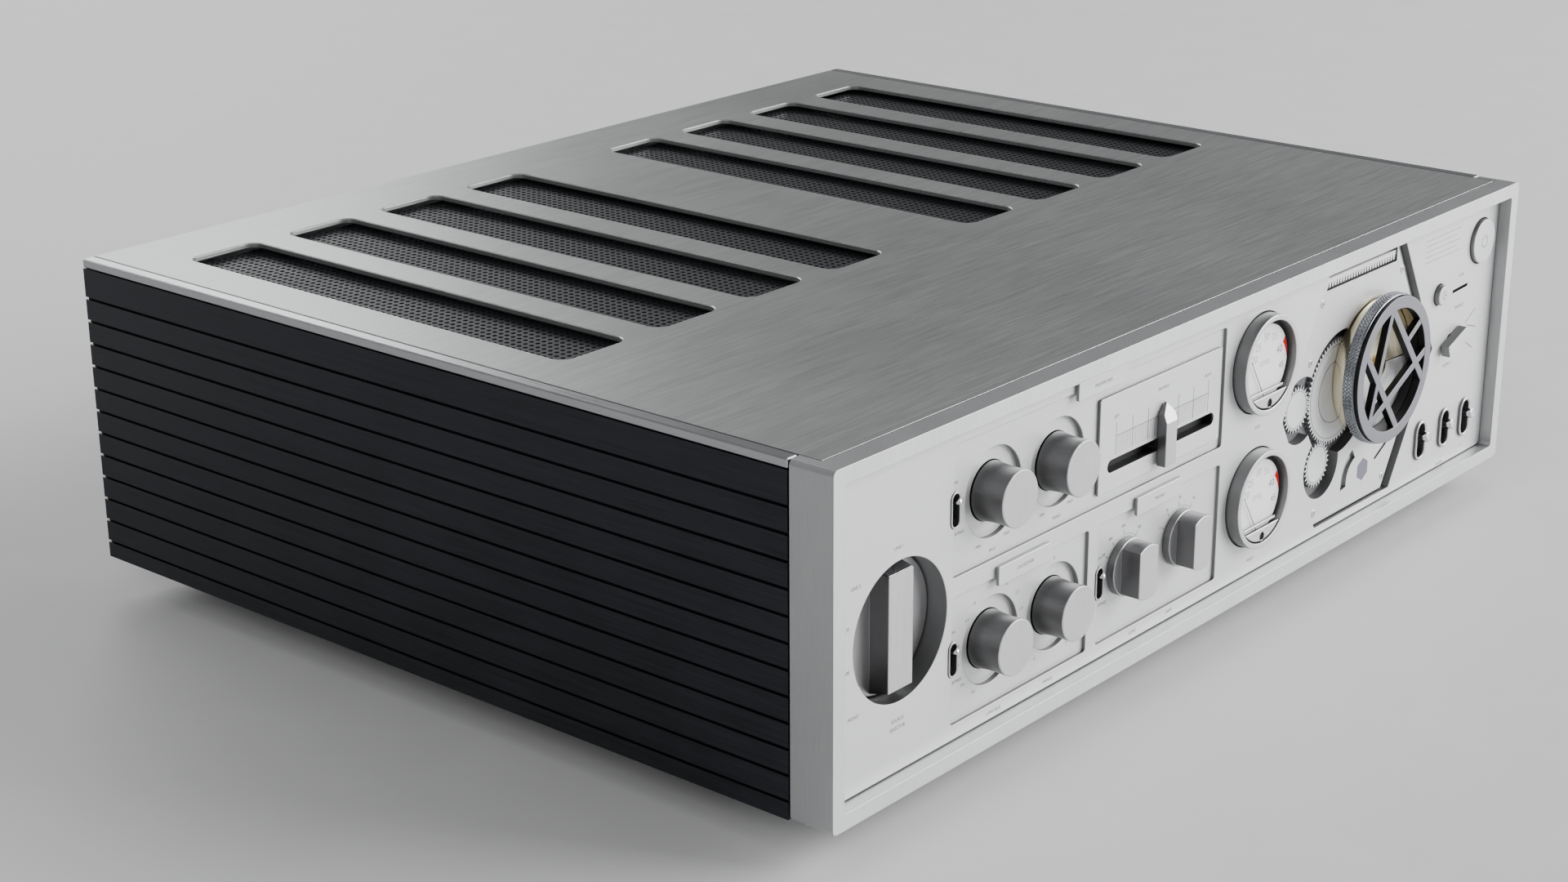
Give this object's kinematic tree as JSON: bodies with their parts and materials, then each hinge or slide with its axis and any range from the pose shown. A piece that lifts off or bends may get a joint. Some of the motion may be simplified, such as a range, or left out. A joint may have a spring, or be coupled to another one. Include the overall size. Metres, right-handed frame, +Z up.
{
  "type": "power amplifier",
  "caption": "Full-width hi-fi amplifier: silver bezel and panel, knobs, switches, round needle meters, a geared volume knob in a hexagonal window, and slots in the top for cooling.",
  "frame": {"origin": "middle of the bounding box, on the plane that the feet rest on", "axes": "+X to the right seen from the front, +Y from the front panel to the back, +Z up"},
  "size_m": [0.43, 0.364, 0.127],
  "materials": {
    "bezel": "satin, finely brushed silver",
    "panel": "satin silver",
    "cover": "brushed grey",
    "rail": "bright edge strip",
    "side": "blue-black, brushed along the grooves",
    "mesh": "dark perforated sheet",
    "knob": "turned, brushed face",
    "gear_plate": "satin silver, slightly purple",
    "gear": "polished face with fine rings",
    "comb": "off-white",
    "grip": "diamond knurled",
    "gunmetal": "satin gunmetal",
    "collar": "pale polished brass",
    "spindle": "turned",
    "lever": "bright",
    "meter_rim": "turned satin rim",
    "dial": "white printed card",
    "needle": "matt dark",
    "chassis": "zinc plated sheet",
    "foot": "matt black",
    "black_plastic": "black",
    "board": "green laminate",
    "heat_sink": "black anodised",
    "sleeve": "shrunk sleeve",
    "winding": "wound tape"
  },
  "bodies": {
    "chassis": {"front_frame": "bezel", "front_panel": "panel", "slider_plate": "panel", "tab_preamp": "panel", "tab_crossover": "panel", "tab_phono": "panel", "top_cover": "cover", "side_rail_left": "rail", "side_rail_right": "rail", "side_panel_left": "side", "side_panel_right": "side", "vent_mesh": "mesh", "gear_plate": "gear_plate", "scale_comb": "comb", "meter_left_housing": "meter_rim", "meter_right_housing": "meter_rim", "meter_left_dial": "dial", "meter_right_dial": "dial", "base_pan": "chassis", "rear_panel": "chassis", "foot_front_left": "foot", "foot_front_right": "foot", "foot_rear_left": "foot", "foot_rear_right": "foot", "input_jacks": "black_plastic", "speaker_terminals": "black_plastic", "mains_inlet": "black_plastic", "main_board": "board", "control_board": "board", "heat_sink_left": "heat_sink", "heat_sink_right": "heat_sink", "capacitor_left": "sleeve", "capacitor_right": "sleeve", "transformer": "winding"},
    "volume_control": {"volume_barrel": "grip", "volume_lattice": "gunmetal", "volume_collar": "collar", "volume_spindle": "spindle"},
    "source_selector": {"source_selector": "panel"},
    "bass_knob": {"bass_knob": "knob"},
    "treble_knob": {"treble_knob": "knob"},
    "crossover_knob_low": {"crossover_knob_low": "knob"},
    "crossover_knob_high": {"crossover_knob_high": "knob"},
    "phono_knob_left": {"phono_knob_left": "knob"},
    "phono_knob_right": {"phono_knob_right": "knob"},
    "balance_slider": {"balance_slider": "panel"},
    "toggle_preamp": {"toggle_preamp": "lever"},
    "toggle_crossover": {"toggle_crossover": "lever"},
    "toggle_phono": {"toggle_phono": "lever"},
    "speaker_toggle_1": {"speaker_toggle_1": "lever"},
    "speaker_toggle_2": {"speaker_toggle_2": "lever"},
    "speaker_toggle_3": {"speaker_toggle_3": "lever"},
    "power_button": {"power_button": "panel"},
    "small_button": {"small_button": "panel"},
    "output_lever": {"output_lever": "panel"},
    "meter_left_needle": {"meter_left_needle": "needle"},
    "meter_right_needle": {"meter_right_needle": "needle"},
    "main_gear": {"main_gear": "gear"},
    "left_gear": {"left_gear": "gear"},
    "lower_gear": {"lower_gear": "gear"}
  },
  "joints": [
    {"name": "volume_turn", "type": "hinge", "parent": "chassis", "child": "volume_control", "pos_m": [0.11267, -0.178, 0.07528], "axis": [0, 1, 0], "range_deg": [-150, 150]},
    {"name": "main_gear_turn", "type": "hinge", "parent": "chassis", "child": "main_gear", "pos_m": [0.0903, -0.1697, 0.0702], "axis": [0, 1, 0], "range_deg": [-24, 24]},
    {"name": "left_gear_turn", "type": "hinge", "parent": "chassis", "child": "left_gear", "pos_m": [0.06209, -0.1697, 0.0702], "axis": [0, 1, 0], "range_deg": [-56, 56]},
    {"name": "lower_gear_turn", "type": "hinge", "parent": "chassis", "child": "lower_gear", "pos_m": [0.07978, -0.1697, 0.04403], "axis": [0, 1, 0], "range_deg": [-56, 56]},
    {"name": "source_selector_turn", "type": "hinge", "parent": "chassis", "child": "source_selector", "pos_m": [-0.1767, -0.1657, 0.0642], "axis": [0, 1, 0], "range_deg": [-135, 0]},
    {"name": "bass_knob_turn", "type": "hinge", "parent": "chassis", "child": "bass_knob", "pos_m": [-0.1289, -0.178, 0.0946], "axis": [0, 1, 0], "range_deg": [-150, 150]},
    {"name": "treble_knob_turn", "type": "hinge", "parent": "chassis", "child": "treble_knob", "pos_m": [-0.0942, -0.178, 0.0946], "axis": [0, 1, 0], "range_deg": [-150, 150]},
    {"name": "crossover_knob_low_turn", "type": "hinge", "parent": "chassis", "child": "crossover_knob_low", "pos_m": [-0.129, -0.178, 0.0448], "axis": [0, 1, 0], "range_deg": [-150, 150]},
    {"name": "crossover_knob_high_turn", "type": "hinge", "parent": "chassis", "child": "crossover_knob_high", "pos_m": [-0.0943, -0.178, 0.0448], "axis": [0, 1, 0], "range_deg": [-150, 150]},
    {"name": "phono_knob_left_turn", "type": "hinge", "parent": "chassis", "child": "phono_knob_left", "pos_m": [-0.0533, -0.178, 0.0463], "axis": [0, 1, 0], "range_deg": [-60, 60]},
    {"name": "phono_knob_right_turn", "type": "hinge", "parent": "chassis", "child": "phono_knob_right", "pos_m": [-0.0192, -0.178, 0.0463], "axis": [0, 1, 0], "range_deg": [-60, 60]},
    {"name": "balance_slide", "type": "slide", "parent": "chassis", "child": "balance_slider", "axis": [1, 0, 0], "range_m": [-0.028, 0.028]},
    {"name": "toggle_preamp_tilt", "type": "hinge", "parent": "chassis", "child": "toggle_preamp", "pos_m": [-0.1503, -0.167, 0.095], "axis": [1, 0, 0], "range_deg": [0, 45]},
    {"name": "toggle_crossover_tilt", "type": "hinge", "parent": "chassis", "child": "toggle_crossover", "pos_m": [-0.1503, -0.167, 0.0455], "axis": [1, 0, 0], "range_deg": [0, 45]},
    {"name": "toggle_phono_tilt", "type": "hinge", "parent": "chassis", "child": "toggle_phono", "pos_m": [-0.0695, -0.167, 0.045], "axis": [1, 0, 0], "range_deg": [0, 45]},
    {"name": "speaker_toggle_1_tilt", "type": "hinge", "parent": "chassis", "child": "speaker_toggle_1", "pos_m": [0.1552, -0.167, 0.0338], "axis": [1, 0, 0], "range_deg": [0, 24]},
    {"name": "speaker_toggle_2_tilt", "type": "hinge", "parent": "chassis", "child": "speaker_toggle_2", "pos_m": [0.1752, -0.167, 0.0338], "axis": [1, 0, 0], "range_deg": [0, 24]},
    {"name": "speaker_toggle_3_tilt", "type": "hinge", "parent": "chassis", "child": "speaker_toggle_3", "pos_m": [0.1923, -0.167, 0.0338], "axis": [1, 0, 0], "range_deg": [0, 24]},
    {"name": "power_button_press", "type": "slide", "parent": "chassis", "child": "power_button", "axis": [0, 1, 0], "range_m": [0, 0.0012], "stiffness_N_per_m": 400, "springref_m": -0.0008},
    {"name": "small_button_press", "type": "slide", "parent": "chassis", "child": "small_button", "axis": [0, 1, 0], "range_m": [0, 0.001], "stiffness_N_per_m": 300, "springref_m": -0.0008},
    {"name": "output_lever_turn", "type": "hinge", "parent": "chassis", "child": "output_lever", "pos_m": [0.1749, -0.177, 0.07], "axis": [0, 1, 0], "range_deg": [0, 50]},
    {"name": "meter_left_needle_swing", "type": "hinge", "parent": "chassis", "child": "meter_left_needle", "pos_m": [0.0284, -0.176, 0.0834], "axis": [0, 1, 0], "range_deg": [0, 66], "stiffness_Nm_per_rad": 0.00002, "springref_deg": -5.73},
    {"name": "meter_right_needle_swing", "type": "hinge", "parent": "chassis", "child": "meter_right_needle", "pos_m": [0.0284, -0.176, 0.0331], "axis": [0, 1, 0], "range_deg": [0, 66], "stiffness_Nm_per_rad": 0.00002, "springref_deg": -5.73}
  ],
  "couplings": [
    {"joint": "main_gear_turn", "follows": "volume_turn", "ratio": -0.15625},
    {"joint": "left_gear_turn", "follows": "volume_turn", "ratio": 0.37037},
    {"joint": "lower_gear_turn", "follows": "volume_turn", "ratio": 0.37037}
  ]
}
